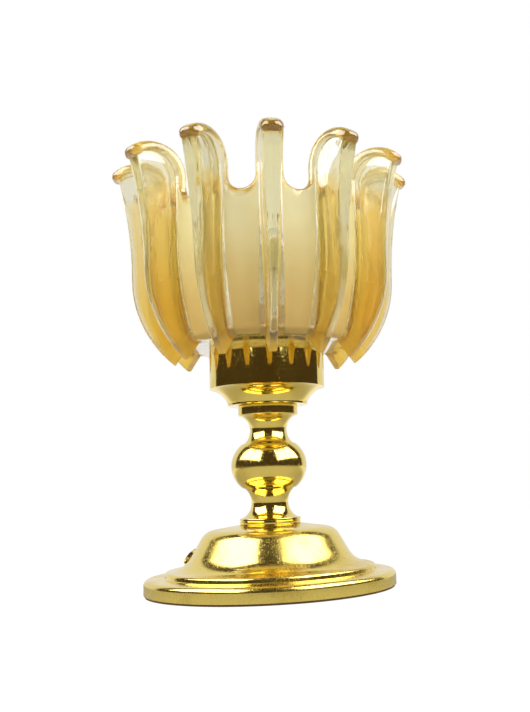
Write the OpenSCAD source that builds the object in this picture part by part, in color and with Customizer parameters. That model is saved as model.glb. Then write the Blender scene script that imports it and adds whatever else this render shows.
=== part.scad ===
// Table lamp: turned and spun brass stand, pressed amber glass shade with twelve fins.
// Origin on the axis, at the underside of the foot pad. +Z up, the front faces -Y.

/* [Foot] */
// Outer diameter of the foot
foot_d = 152; // [140:1:180]
// Thickness of the spun brass
shell_t = 1.2; // [0.8:0.1:1.5]
// Thickness of the pad under the rim
pad_t = 1.2; // [0.8:0.1:2]
// How far the pad stays inside the rim
pad_inset = 0.8; // [0.3:0.1:2]
// Height of the rim above the pad
rim_h = 8.6; // [7.5:0.1:11]
// Radius of the rim's rounded top edge
rim_round = 3; // [1.8:0.1:4]
// Width of the ledge inside the rim
ledge_w = 9.2; // [7:0.1:11]
// Rise of the ledge towards the dome
ledge_rise = 0.6; // [0.2:0.1:1]
// Height of the dome's lip above the rim
lip_h = 3.8; // [3.2:0.1:5]
// Radius of the lip's rounded edge
lip_round = 1.9; // [1.7:0.1:2.2]
// Radius of the concave sweep above the lip
sweep_r = 16; // [13:0.5:18]
// Lean of the dome's side from the vertical, in degrees
dome_lean = 30; // [27:1:34]
// Length of the straight part of the dome's side
dome_side = 11.6; // [8:0.1:14]
// Radius of the dome's shoulder
shoulder_r = 10.7; // [8:0.1:13]
// Slope of the dome's top, in degrees
top_slope = 8.5; // [4:0.5:12]

/* [Cord outlet] */
// Turn of the outlet from the front, round to the left, in degrees
outlet_turn = 105; // [80:1:180]
// Tilt of the outlet above the horizontal, in degrees
outlet_tilt = 40; // [36:1:46]
// Diameter of the bushing's flange
flange_d = 12; // [11:0.1:13]
// Thickness of the flange
flange_t = 2; // [1.5:0.1:3]
// Diameter of the bushing's shank
shank_d = 8.6; // [8:0.1:9]
// Bore for the cord
cord_bore = 6.4; // [5:0.1:7]

/* [Ballast and fixings] */
// Radius of the cast weight
weight_r = 66; // [58:0.5:67]
// Radius of the weight where its cone starts
cone_r = 41; // [34:0.5:42]
// Width of the cord's channel in the weight
channel_w = 9; // [7:0.5:11]
// Outer diameter of the threaded tube
tube_d = 10; // [9:0.5:10.5]
// Bore of the threaded tube
tube_bore = 7.6; // [6:0.1:8]
// Clearance between the tube and what it passes through
tube_gap = 0.1; // [0.05:0.01:0.3]
// Width across the flats of the lock nuts
nut_af = 14; // [13:0.5:16]
// Height of a lock nut
nut_h = 3.6; // [3:0.1:4]
// Diameter of the washers
washer_d = 21; // [17:0.5:24]
// Thickness of the washers
washer_t = 1.4; // [1:0.1:1.6]

/* [Stem] */
// Diameter of the disc under the lower spool
disc_d = 37.4; // [36:0.1:42]
// Height of that disc
disc_h = 3.8; // [3:0.1:5]
// Depth of the groove round the disc
groove = 0.7; // [0.4:0.1:1]
// Diameter of a spool at its neck
neck_d = 22.6; // [20:0.1:26]
// Diameter of a spool at its wide end
spool_wide_d = 35; // [32:0.1:36]
// Diameter of a spool where it meets the ball
spool_ball_d = 31; // [28:0.1:32]
// Height of the lower spool
lower_spool_h = 18.2; // [16:0.1:22]
// Height of the upper spool
upper_spool_h = 17.4; // [16:0.1:22]
// Diameter of the ball
ball_d = 46.4; // [42:0.1:52]
// Height of the ball between its seams
ball_h = 27; // [24:0.1:31]
// Diameter of the ball at its seams
ball_end_d = 33; // [32:0.1:36]
// Diameter of the collar under the cup
collar_d = 36.8; // [36:0.1:42]
// Height of the collar
collar_h = 6.4; // [5:0.1:8]

/* [Cup] */
// Outer diameter of the cup that carries the glass
cup_d = 71.4; // [68:0.1:78]
// Height of the cup's straight wall
cup_wall_h = 25.5; // [22:0.1:32]
// Diameter of the cup's base
cup_base_d = 49.4; // [46:0.1:52]
// Height of the base below the cove
cup_base_h = 1.6; // [1:0.1:3]
// Height of the cove
cove_h = 9.2; // [8:0.1:11]
// Radius of the cove
cove_r = 15.6; // [14:0.2:20]
// Thickness of the cup
cup_t = 1.3; // [0.9:0.1:1.6]

/* [Glass bowl] */
// Radius of the flat underside
floor_r = 50; // [46:0.5:52]
// Outer radius of the wall at its foot
wall_low_r = 54.8; // [53.5:0.1:57]
// Outer radius of the wall where it stands upright
wall_r = 65.5; // [63:0.1:68]
// Height of that place above the underside
upright_h = 65; // [56:1:72]
// Thickness of the wall
glass_t = 6; // [5:0.1:7]
// Thickness of the floor
floor_t = 6; // [5:0.1:7]
// Diameter of the hole in the floor
floor_hole_d = 30.6; // [29.6:0.1:34]
// Height of the bays' bottoms above the underside
bay_h = 83.5; // [76:0.5:88]

/* [Fins and petals] */
// Number of fins, each ending in a petal
fins = 12; // [8:1:13]
// Turn of the first fin to the right of the front, in degrees
fin_turn = 4.3; // [0:0.1:30]
// Radius of a fin's edge round the bowl
fin_arc_r = 68; // [66:0.5:70]
// Reach of a fin from the axis at the bowl's middle
fin_r = 82.3; // [80:0.1:85]
// Height of that place above the underside
fin_h = 43; // [41:0.5:45]
// Angle that a fin reaches down round the bowl, in degrees
fin_angle = 51.6; // [48:0.1:52]
// Width of a fin's edge at the bowl's middle
fin_w = 6.2; // [5:0.1:7]
// Draft of a fin's sides towards its root, in degrees
fin_draft = 4; // [3:0.1:5]
// Widening of a fin's sides towards the petal, in degrees
fin_spread = 2.5; // [1.5:0.1:3]
// Radius of a fin's edge where it flares to the petal
flare_r = 260; // [240:5:300]
// Width of a petal
petal_w = 16; // [13:0.5:18]
// Thickness of a petal
petal_t = 6; // [5.5:0.1:7]
// Radius of a petal's outward curl, on its inner side
curl_r = 20; // [18:0.5:22]
// Height of the curl's start above the bays' bottoms
curl_rise = 14.5; // [12:0.5:18]
// Reach of a petal's tip from the axis
tip_reach = 94.5; // [93:0.5:98]
// Radius of the corners of a petal's tip
petal_round = 6; // [3:0.5:6.4]

/* [Lampholder] */
// Outer diameter of the lampholder
holder_d = 28; // [27:0.1:29]
// Thickness of its skirt and cap
holder_t = 1.4; // [1:0.1:1.6]
// Height of the cap's neck, which takes the tube
neck_h = 7; // [6:0.5:8]
// Height of the cap above its neck
cap_h = 15; // [14:0.5:17]
// Height of the skirt
skirt_h = 37; // [35:0.5:39]
// Depth of the socket below the skirt's mouth
socket_h = 29; // [28:0.5:30]
// Inner diameter of the screw shell
screw_d = 14.2; // [14:0.1:14.6]
// Thickness of the contact metal
strip_t = 0.5; // [0.4:0.1:0.7]
// Outer diameter of the shade ring
ring_d = 40; // [37:0.5:44]
// Height of the shade ring
ring_h = 7; // [6:0.5:9]
// Clearance between the shade ring and the skirt
ring_gap = 0.1; // [0.05:0.01:0.2]

/* [Bulb] */
// Clearance between the bulb's cap and the screw shell
bulb_gap = 0.1; // [0.05:0.01:0.1]
// Height of the bulb's cap
bulb_cap_h = 24; // [23:0.5:25]
// Diameter of the bulb's globe
globe_d = 45; // [42:0.5:46]
// Length of the bulb from its contact to its top
bulb_h = 77; // [75:0.5:80]
// Thickness of the bulb's glass
globe_t = 0.8; // [0.6:0.1:1]

/* [Hidden] */

$fn = 96;
past = 1;       // how far a cutter runs past what it cuts
seat = 0.05;    // clearance between curved faces that rest on each other

// Foot, from the pad up to the seat of the stem.
foot_r = foot_d / 2;
ledge_z = pad_t + rim_h;
lip_z = ledge_z + lip_h;
lip_r = foot_r - rim_round - ledge_w;
sweep_c = [lip_r - lip_round, lip_z + sweep_r];
side_low = sweep_c - sweep_r * [cos(dome_lean), sin(dome_lean)];
side_high = side_low + dome_side * [-sin(dome_lean), cos(dome_lean)];
shoulder_c = side_high - shoulder_r * [cos(dome_lean), sin(dome_lean)];
shoulder_end = shoulder_c + shoulder_r * [sin(top_slope), cos(top_slope)];
disc_r = disc_d / 2;
disc_z = shoulder_end[1] + (shoulder_end[0] - disc_r) * tan(top_slope);
outlet_seat = sweep_c - sweep_r * [cos(outlet_tilt), sin(outlet_tilt)];
flange_low = sweep_r - sqrt(pow(sweep_r, 2) - pow(flange_d / 2, 2)) + seat;
shank_h = 7;            // length of the bushing's shank inside the dome
bushing_nut_h = 2.6;
bushing_nut_af = 12;
bushing_nut_drop = 0.6; // the dome's inside curves towards the nut's corners

// Ballast, and the tube that clamps the stem.
bore_r = tube_d / 2 + tube_gap;
weight_low = pad_t + 2;
weight_rim_z = ledge_z - shell_t - 0.6;
recess_z = weight_low + nut_h + washer_t + 1;
recess_r = washer_d / 2 + 2;
seat_z = disc_z - shell_t;
tube_low = weight_low + 0.4;

// Stem, cup and lampholder, each standing on the one below.
spool_z = disc_z + disc_h;
ball_z = spool_z + lower_spool_h;
upper_z = ball_z + ball_h;
collar_z = upper_z + upper_spool_h;
cup_z = collar_z + collar_h;
cup_r = cup_d / 2;
cove_z = cup_z + cup_base_h;
wall_z = cove_z + cove_h;
glass_z = wall_z + cup_wall_h;
cup_nut_z = cup_z + cup_t + washer_t;
cap_z = cup_nut_z + nut_h + 1.2;
cap_body_z = cap_z + neck_h;
tube_top = cap_body_z + holder_t + 0.6;
cap_top = cap_body_z + cap_h;
spigot_h = 4;           // how far the cap reaches into the skirt
holder_r = holder_d / 2;
holder_in_r = holder_r - holder_t;
skirt_z = cap_top - spigot_h;
skirt_top = skirt_z + skirt_h;
socket_z = skirt_top - socket_h;
screw_r = screw_d / 2;
screw_low = socket_z + 5;
screw_top = skirt_top - 5;
block_r = holder_in_r - holder_t - 0.15;
block_h = 8;
block_flange_h = 2.5;

// Bulb, standing just above the centre contact.
bulb_z = socket_z + 2.6;
bulb_cap_r = screw_r - bulb_gap;
bulb_cap_z = bulb_z + 3.5;
bulb_cap_top = bulb_z + bulb_cap_h;
bulb_metal_t = 0.4;
bulb_neck_r = bulb_cap_r - bulb_metal_t;
globe_r = globe_d / 2;
globe_z = bulb_z + bulb_h - globe_r;
press_z = bulb_cap_top - 7;         // foot of the glass stem in the bulb's neck
lead_z = press_z + 16;              // top of the glass stem, where the lead wires come out
lead_top_z = globe_z - 2;
lead_depth = 2;                     // how deep the wires sit in the glass stem
lead_foot_x = 0.9;
lead_x = 5.5;
lead_r = 0.4;

// Glass shade.
floor_z = glass_z + floor_t;
upright_z = glass_z + upright_h;
wall_in_r = wall_r - glass_t;
wall_arc_r = (pow(upright_h, 2) + pow(wall_r - wall_low_r, 2)) / 2 / (wall_r - wall_low_r);
wall_c = [wall_r - wall_arc_r, upright_z];
floor_round = 4;        // height of the turn from the floor into the wall
fin_bite = 1;           // how far a fin's hidden side lies inside the glass it stands on
fin_foot_r = floor_r - 0.4; // where a fin's end comes out of the underside
half_turn = 180 / fins;
bay_apex = petal_w / 2 / sin(half_turn);
bay_z = glass_z + bay_h + (wall_r - bay_apex) * tan(half_turn);
curl_c = [wall_in_r + curl_r, glass_z + bay_h + curl_rise];
crown_z = curl_c[1] + curl_r;
curl_mid_r = curl_r - petal_t / 2;
tip_turn = 12;          // least angle above the level of the curl's centre at which a tip ends
tip_share = (tip_reach - petal_t / 2 - curl_c[0]) / curl_mid_r;
tip_angle = acos(min(tip_share, cos(tip_turn)));
crown_run = curl_mid_r * max(0, tip_share - cos(tip_turn)); // flat of a crown whose tip reaches past the curl
tip_c = curl_c + [crown_run, 0] + curl_mid_r * [cos(tip_angle), sin(tip_angle)];
fin_c = [fin_r - fin_arc_r, glass_z + fin_h];
flare_c = [fin_r + flare_r, glass_z + fin_h];
flare_turn = 1;         // least turn of a fin's flare
// A fin's flare ends level with the centre of the petal's tip, and no further out than that centre.
flare_angle = min(asin((tip_c[1] - flare_c[1]) / flare_r),
    acos(min((flare_c[0] - tip_c[0]) / flare_r, cos(flare_turn))));

// Points of an arc about c with radius r, from one angle to another.
function arc(c, r, from, to, n = 12) =
    [for (i = [0:n]) let (a = from + (to - from) * i / n) c + r * [cos(a), sin(a)]];

// Points of a petal's curl. Those beyond its crown move out by the crown's flat.
function curl(r, from, to, n) =
    [for (p = arc(curl_c, r, from, to, n)) p[0] > curl_c[0] ? p + [crown_run, 0] : p];

// Centre of the arc of radius r that runs from p to q and bulges to the left of that line.
function arc_centre(p, q, r) =
    let (half = (q - p) / 2, turn = [half[1], -half[0]] / norm(half))
    p + half + turn * sqrt(r * r - half * half);

// Angle of the point p seen from c, between 0 and 360.
function angle_of(c, p) = (atan2(p[1] - c[1], p[0] - c[0]) + 360) % 360;

module turned() {
    rotate_extrude() children();
}

// Turns what is drawn along +X to an angle round from the front, to the right.
module round_from_front(turn) {
    rotate([0, 0, turn - 90]) children();
}

module tube_between(low, high, outer, inner) {
    turned() translate([inner, low]) square([outer - inner, high - low]);
}

module hex_nut(low, high, flats, inner) {
    translate([0, 0, low]) difference() {
        cylinder(d = flats / cos(30), h = high - low, $fn = 6);
        translate([0, 0, -past]) cylinder(r = inner, h = high - low + 2 * past);
    }
}

// The foot's half section, drawn at a depth under its outer face.
module foot_section(depth) {
    polygon(concat(
        [[0, pad_t], [foot_r - depth, pad_t]],
        arc([foot_r - rim_round, ledge_z - rim_round], rim_round - depth, 0, 90),
        [[lip_r - depth, ledge_z + ledge_rise - depth]],
        arc([lip_r - lip_round, lip_z - lip_round], lip_round - depth, 0, 90, 8),
        arc(sweep_c, sweep_r + depth, 270, 180 + dome_lean),
        arc(shoulder_c, shoulder_r - depth, dome_lean, 90 - top_slope),
        [[disc_r, disc_z - depth], [0, disc_z - depth]]));
}

// Moves to the outlet's seat on the dome, with +Z out along the cord.
module at_outlet() {
    round_from_front(-outlet_turn)
        translate([outlet_seat[0], 0, outlet_seat[1]])
        rotate([0, 90 - outlet_tilt, 0]) children();
}

module foot_shell() {
    color("goldenrod") difference() {
        turned() foot_section(0);
        turned() foot_section(shell_t);
        translate([0, 0, pad_t - past]) cylinder(r = foot_r - shell_t, h = 2 * past);
        cylinder(r = bore_r, h = disc_z + past);
        at_outlet() translate([0, 0, -shank_h]) cylinder(r = shank_d / 2 + seat, h = 2 * shank_h);
    }
}

module foot_pad() {
    color("saddlebrown") cylinder(r = foot_r - pad_inset, h = pad_t);
}

module cord_bushing() {
    edge = 0.7;
    color("darkgoldenrod") at_outlet() turned() polygon([
        [cord_bore / 2, -shank_h], [shank_d / 2, -shank_h], [shank_d / 2, flange_low],
        [flange_d / 2, flange_low], [flange_d / 2, flange_low + flange_t - edge],
        [flange_d / 2 - edge, flange_low + flange_t], [cord_bore / 2 + edge, flange_low + flange_t],
        [cord_bore / 2, flange_low + flange_t - edge]]);
}

module bushing_nut() {
    high = -shell_t - bushing_nut_drop;
    color("silver") at_outlet()
        hex_nut(high - bushing_nut_h, high, bushing_nut_af, shank_d / 2 + seat);
}

module foot_weight() {
    color("dimgray") difference() {
        turned() polygon([
            [bore_r, recess_z], [recess_r, recess_z], [recess_r, weight_low], [weight_r, weight_low],
            [weight_r, weight_rim_z], [cone_r, weight_rim_z], [disc_r, seat_z], [bore_r, seat_z]]);
        round_from_front(-outlet_turn) translate([tube_d, -channel_w / 2, weight_low - past])
            cube([cone_r + 6, channel_w, recess_z - weight_low + past]);
    }
}

module bottom_washer() {
    color("silver") tube_between(recess_z - washer_t, recess_z, washer_d / 2, bore_r);
}

module bottom_nut() {
    high = recess_z - washer_t;
    color("silver") hex_nut(high - nut_h, high, nut_af, bore_r);
}

module threaded_tube() {
    color("lightgray") tube_between(tube_low, tube_top, tube_d / 2, tube_bore / 2);
}

// One half of a spool's waist: the outline from the neck to an end.
function waist(neck_z, end_z, end_r) =
    let (dz = end_z - neck_z, dr = end_r - neck_d / 2, r = (dz * dz + dr * dr) / 2 / dr,
        sweep = asin(dz / r))
    arc([neck_d / 2 + r, neck_z], r, 180, 180 - sweep);

// A spool's outline from its bottom to its top.
function waisted(low, high, low_r, high_r) =
    let (neck_z = (low + high) / 2, down = waist(neck_z, low, low_r))
    concat([for (i = [len(down) - 1:-1:1]) down[i]], waist(neck_z, high, high_r));

module lower_spool() {
    mid = disc_z + disc_h / 2;
    edge = 0.6;
    color("goldenrod") turned() polygon(concat(
        [[bore_r, disc_z], [disc_r - edge, disc_z], [disc_r, disc_z + edge], [disc_r, mid - groove / 2],
            [disc_r - groove, mid], [disc_r, mid + groove / 2], [disc_r, spool_z - edge],
            [disc_r - edge, spool_z]],
        waisted(spool_z, ball_z, spool_wide_d / 2, spool_ball_d / 2),
        [[bore_r, ball_z]]));
}

module stem_ball() {
    rise = ball_h / 2;
    bulge = (ball_d - ball_end_d) / 2;
    r = (rise * rise + bulge * bulge) / 2 / bulge;
    sweep = asin(rise / r);
    color("goldenrod") turned() polygon(concat(
        [[bore_r, ball_z]],
        arc([ball_d / 2 - r, ball_z + rise], r, -sweep, sweep, 24),
        [[bore_r, upper_z]]));
}

module upper_spool() {
    collar_r = collar_d / 2;
    edge = 0.8;
    color("goldenrod") turned() polygon(concat(
        [[bore_r, upper_z]],
        waisted(upper_z, collar_z, spool_ball_d / 2, spool_wide_d / 2),
        [[collar_r, collar_z + edge], [collar_r, cup_z - edge / 2], [collar_r - edge / 2, cup_z],
            [bore_r, cup_z]]));
}

// The cup's half section, drawn at a depth inside its outer face.
module cup_section(depth) {
    low = [cup_base_d / 2, cove_z];
    c = arc_centre(low, [cup_r, wall_z], cove_r);
    top_angle = acos((cup_r - depth - c[0]) / (cove_r + depth));
    polygon(concat(
        [[0, cup_z + depth], [cup_base_d / 2 - depth, cup_z + depth]],
        arc(c, cove_r + depth, angle_of(c, low), top_angle),
        [[cup_r - depth, glass_z], [0, glass_z]]));
}

module shade_cup() {
    color("goldenrod") difference() {
        turned() cup_section(0);
        turned() cup_section(cup_t);
        translate([0, 0, glass_z - past]) cylinder(r = cup_r - cup_t, h = 2 * past);
        translate([0, 0, cup_z - past]) cylinder(r = bore_r, h = cup_t + 2 * past);
    }
}

module cup_washer() {
    color("silver") tube_between(cup_z + cup_t, cup_nut_z, washer_d / 2, bore_r);
}

module cup_nut() {
    color("silver") hex_nut(cup_nut_z, cup_nut_z + nut_h, nut_af, bore_r);
}

module lampholder_cap() {
    neck_r = tube_d / 2 + 2.6;
    spigot_r = holder_in_r - seat;
    color("darkgoldenrod") turned() polygon([
        [bore_r, cap_z], [neck_r, cap_z], [neck_r, cap_body_z], [holder_r - 2, cap_body_z],
        [holder_r, cap_body_z + 2], [holder_r, skirt_z], [spigot_r, skirt_z], [spigot_r, cap_top],
        [spigot_r - holder_t, cap_top], [spigot_r - holder_t, cap_body_z + holder_t],
        [bore_r, cap_body_z + holder_t]]);
}

module lampholder_skirt() {
    lip = 1;
    color("goldenrod") turned() polygon([
        [holder_in_r, skirt_z], [holder_r, skirt_z], [holder_r, skirt_top - 0.5],
        [holder_r - 0.5, skirt_top], [holder_in_r - lip, skirt_top],
        [holder_in_r - lip, skirt_top - 1.2], [holder_in_r, skirt_top - 1.2]]);
}

module lampholder_insulator() {
    tower_r = block_r - 0.5;
    color("whitesmoke") difference() {
        turned() polygon([
            [0, cap_top - block_h], [block_r, cap_top - block_h], [block_r, cap_top],
            [holder_in_r - seat, cap_top], [holder_in_r - seat, cap_top + block_flange_h],
            [tower_r, cap_top + block_flange_h], [tower_r, skirt_top - 2],
            [screw_r + strip_t, skirt_top - 2], [screw_r + strip_t, screw_low],
            [screw_r - 0.3, screw_low], [screw_r - 0.3, socket_z], [0, socket_z]]);
        translate([0, -2.2, socket_z]) cube([screw_r + strip_t, 4.4, screw_low - socket_z + past]);
    }
}

module screw_shell() {
    color("gold") tube_between(screw_low, screw_top, screw_r + strip_t, screw_r);
}

// A bent leaf that presses on the bulb's contact.
module centre_contact() {
    tall = bulb_z - 0.1 - socket_z;
    color("peru") translate([0, 1.8, socket_z]) rotate([90, 0, 0]) linear_extrude(3.6) polygon([
        [-5.5, 0], [-1.6, 0], [1.2, tall - strip_t], [3.2, tall - strip_t], [3.2, tall],
        [0.9, tall], [-1.9, strip_t], [-5.5, strip_t]]);
}

// An upright strip under the rim of the screw shell.
module side_contact() {
    color("peru") translate([screw_r, -2, socket_z])
        cube([strip_t - seat, 4, screw_low - socket_z]);
}

module terminal_screws() {
    for (side = [-1, 1]) color("silver") translate([6.5 * side, 0, cap_top - block_h])
        difference() {
            translate([0, 0, -2.2]) cylinder(d = 5, h = 2.2);
            translate([-3, -0.4, -3]) cube([6, 0.8, 1.6]);
        }
}

// The glass's outer half section: underside, wall, underside of the curl, rounded tip and crown.
module outer_section() {
    polygon(concat(
        [[0, glass_z], [floor_r, glass_z]],
        arc(wall_c, wall_arc_r, -asin((upright_h - floor_round) / wall_arc_r), 0, 6),
        curl(curl_r - petal_t, 180, tip_angle, 8),
        arc(tip_c, petal_t / 2, tip_angle - 180, tip_angle, 8),
        curl(curl_r, tip_angle, 90, 5),
        [[0, crown_z]]));
}

// The hollow of the bowl, and the inner face of the petals above it.
module hollow_section() {
    r = wall_arc_r - glass_t;
    start = -asin((upright_h - floor_t - floor_round) / r);
    polygon(concat(
        [[0, floor_z], [wall_low_r - glass_t - floor_round, floor_z]],
        arc(wall_c, r, start, 0, 6),
        arc(curl_c, curl_r, 180, 90, 8),
        [[curl_c[0], crown_z + past], [0, crown_z + past]]));
}

// A fin seen from the side: its edge from the point below the bowl to the petal's tip,
// and back inside the glass of the petal, the wall and the floor.
module fin_section() {
    low = fin_c + fin_arc_r * [cos(fin_angle), -sin(fin_angle)];
    foot = [fin_foot_r, glass_z];
    mid_z = (glass_z + floor_z) / 2;
    polygon(concat(
        arc(fin_c, fin_arc_r, -fin_angle, 0, 10),
        arc(flare_c, flare_r, 180 - flare_angle / 6, 180 - flare_angle, 5),
        curl(curl_mid_r, tip_angle, 180, 6),
        [[wall_in_r + fin_bite, upright_z], [floor_r + fin_bite, floor_z],
            low + (foot - low) * (mid_z - low[1]) / (foot[1] - low[1])]));
}

// One fin, with drafted sides.
module fin() {
    wide = 2 * fin_w;
    far = 2 * fin_arc_r;
    difference() {
        rotate([90, 0, 0]) linear_extrude(wide, center = true) fin_section();
        for (side = [-1, 1]) translate([fin_r, side * fin_w / 2, fin_c[1]])
            rotate([-side * fin_spread, 0, -side * fin_draft])
            translate([-fin_arc_r, side > 0 ? 0 : -wide, -far]) cube([far, wide, 2 * far]);
    }
}

// One bay: a drafted round bottom, opening upwards between two petals.
module bay() {
    far = tip_reach + past - bay_apex;
    spread = far * tan(half_turn);
    translate([bay_apex, 0, bay_z]) {
        rotate([0, 90, 0]) cylinder(r1 = 0, r2 = spread, h = far);
        linear_extrude(crown_z + past - bay_z) polygon([[0, 0], [far, -spread], [far, spread]]);
    }
}

// What rounds one corner of a petal's tip: three planes, square to the tip, that touch the corner's circle.
module corner_cut() {
    step = 90 / 4;
    reach = petal_round / cos(step / 2);
    run = petal_round;
    translate([tip_c[0], 0, tip_c[1]]) rotate([0, 180 - tip_angle, 0]) rotate([90, 0, 90])
        translate([petal_w / 2 - petal_round, petal_t / 2 - petal_round, 0])
        linear_extrude(2 * petal_t, center = true) polygon([
            petal_round * [cos(step), sin(step)] + run * [sin(step), -cos(step)],
            reach * [cos(1.5 * step), sin(1.5 * step)],
            reach * [cos(2.5 * step), sin(2.5 * step)],
            petal_round * [cos(3 * step), sin(3 * step)] + run * [-sin(3 * step), cos(3 * step)],
            [2 * run, 2 * run]]);
}

module glass_shade() {
    color("navajowhite", 0.8) difference() {
        union() {
            turned() outer_section();
            for (i = [0:fins - 1]) round_from_front(fin_turn + 2 * i * half_turn) fin();
        }
        turned() hollow_section();
        translate([0, 0, glass_z - past]) cylinder(d = floor_hole_d, h = floor_t + 2 * past);
        for (i = [0:fins - 1]) {
            round_from_front(fin_turn + (2 * i + 1) * half_turn) bay();
            round_from_front(fin_turn + 2 * i * half_turn)
                for (side = [0, 1]) mirror([0, side, 0]) corner_cut();
        }
    }
}

module shade_ring() {
    inner = holder_r + ring_gap;
    hub = holder_r + 3;
    color("gold") turned() polygon([
        [inner, floor_z], [ring_d / 2, floor_z], [ring_d / 2, floor_z + 2.2],
        [ring_d / 2 - 0.6, floor_z + 2.8], [hub, floor_z + 2.8], [hub, floor_z + ring_h - 0.6],
        [hub - 0.6, floor_z + ring_h], [inner, floor_z + ring_h]]);
}

module bulb_cap() {
    color("silver") tube_between(bulb_cap_z, bulb_cap_top, bulb_cap_r, bulb_neck_r);
}

module bulb_insulator() {
    color("black") turned() polygon([
        [0, bulb_z + 1], [3.6, bulb_z + 1], [bulb_neck_r, bulb_cap_z - 0.4],
        [bulb_neck_r, bulb_cap_z + 1.6], [0, bulb_cap_z + 1.6]]);
}

module bulb_contact() {
    color("silver") translate([0, 0, bulb_z]) cylinder(r = 2.4, h = 1);
}

// The globe's half section, drawn at a depth inside its outer face.
module globe_section(depth) {
    neck = bulb_neck_r - depth;
    rise = 9;           // from the cap up to where the neck runs into the globe
    join_a = -asin((globe_z - bulb_cap_top - rise) / globe_r);
    polygon(concat(
        [[0, press_z], [neck, press_z], [neck, bulb_cap_top]],
        arc([0, globe_z], globe_r - depth, join_a, 90, 24)));
}

module bulb_globe() {
    color("white", 0.5) difference() {
        turned() globe_section(0);
        turned() globe_section(globe_t);
        translate([0, 0, press_z - past]) cylinder(r = bulb_neck_r - globe_t, h = 2 * past);
    }
}

// The two lead wires, leaning out from the glass stem to the ends of the coil.
module leads(r) {
    rise = lead_top_z - lead_z + lead_depth;
    lean = atan2(lead_x - lead_foot_x, rise);
    for (side = [-1, 1])
        translate([lead_foot_x * side, 0, lead_z - lead_depth]) rotate([0, side * lean, 0])
            cylinder(r = r, h = rise / cos(lean));
}

module bulb_stem() {
    base_r = bulb_neck_r - globe_t;
    color("white", 0.5) difference() {
        turned() polygon([
            [0, press_z], [base_r, press_z], [base_r, press_z + 1.2], [3, press_z + 4],
            [2.7, lead_z - 0.5], [2.2, lead_z], [0, lead_z]]);
        leads(lead_r + seat);
    }
}

// The lead wires with the coil between their tops.
module filament() {
    color("dimgray") {
        leads(lead_r);
        translate([-lead_x - lead_r, 0, lead_top_z]) rotate([0, 90, 0])
            cylinder(r = lead_r, h = 2 * (lead_x + lead_r));
    }
}

foot_shell();
foot_pad();
foot_weight();
cord_bushing();
bushing_nut();
threaded_tube();
bottom_washer();
bottom_nut();
lower_spool();
stem_ball();
upper_spool();
shade_cup();
cup_washer();
cup_nut();
lampholder_cap();
lampholder_skirt();
lampholder_insulator();
screw_shell();
centre_contact();
side_contact();
terminal_screws();
glass_shade();
shade_ring();
bulb_cap();
bulb_insulator();
bulb_contact();
bulb_globe();
bulb_stem();
filament();
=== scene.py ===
import math
from itertools import accumulate

import bpy
from mathutils import Euler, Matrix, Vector


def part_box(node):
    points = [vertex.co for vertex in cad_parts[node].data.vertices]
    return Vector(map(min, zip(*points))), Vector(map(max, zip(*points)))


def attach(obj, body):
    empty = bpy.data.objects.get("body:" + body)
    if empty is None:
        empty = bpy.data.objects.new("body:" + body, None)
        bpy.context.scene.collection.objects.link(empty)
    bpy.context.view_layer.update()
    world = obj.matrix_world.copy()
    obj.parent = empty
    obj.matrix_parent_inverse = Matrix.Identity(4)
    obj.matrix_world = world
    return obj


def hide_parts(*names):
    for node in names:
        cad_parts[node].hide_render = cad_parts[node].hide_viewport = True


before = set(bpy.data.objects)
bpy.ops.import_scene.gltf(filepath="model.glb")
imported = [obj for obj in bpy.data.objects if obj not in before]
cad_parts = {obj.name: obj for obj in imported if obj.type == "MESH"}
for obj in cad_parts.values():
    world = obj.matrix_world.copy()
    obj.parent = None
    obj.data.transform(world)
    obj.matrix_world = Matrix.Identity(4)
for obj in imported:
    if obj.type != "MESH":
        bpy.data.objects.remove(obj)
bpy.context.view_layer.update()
mm = 0.001
print("frame loaded:", len(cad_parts), "nodes")


# small helpers for modelling

def deselectAll():
    if bpy.context.mode != "OBJECT":
        bpy.ops.object.mode_set(mode="OBJECT")
    bpy.ops.object.select_all(action="DESELECT")


def selectOnly(obj):
    deselectAll()
    obj.select_set(True)
    bpy.context.view_layer.objects.active = obj


def joined(objects):
    # makes one object of several and leaves it selected
    deselectAll()
    for obj in objects:
        obj.select_set(True)
    bpy.context.view_layer.objects.active = objects[0]
    bpy.ops.object.join()
    return objects[0]


def turnSelected(angle):
    # turns anticlockwise seen from above: with no window the operator turns the other way
    bpy.ops.transform.rotate(value=-angle, orient_axis="Z", center_override=(0, 0, 0))
    bpy.ops.object.transform_apply(location=True, rotation=True, scale=True)


def heights(node):
    # the lowest and highest point of a built node, in millimetres
    return tuple(corner.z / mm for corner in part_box(node))


def mixed(a, b, f):
    return a + (b - a) * f


def pointAt(centre, radius, turn):
    return (centre[0] + radius * math.cos(turn), centre[1] + radius * math.sin(turn))


def arc(centre, radius, fromDeg, toDeg, steps):
    # points of an arc in the half section, r outwards and z up
    turns = [math.radians(fromDeg + (toDeg - fromDeg) * i / steps) for i in range(steps + 1)]
    return [pointAt(centre, radius, turn) for turn in turns]


def arcRadius(rise, bulge):
    # radius of an arc that stands out by the bulge over half its height
    return (rise * rise + bulge * bulge) / 2 / bulge


def finishMesh(obj, name, sharpDeg):
    # welds, turns the faces outwards and smooths all but the sharp edges
    obj.name = name
    obj.data.name = name
    selectOnly(obj)
    bpy.ops.object.mode_set(mode="EDIT")
    bpy.ops.mesh.select_all(action="SELECT")
    bpy.ops.mesh.remove_doubles(threshold=0.00001)
    bpy.ops.mesh.normals_make_consistent(inside=False)
    bpy.ops.object.mode_set(mode="OBJECT")
    bpy.ops.object.shade_smooth_by_angle(angle=math.radians(sharpDeg))
    return obj


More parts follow.
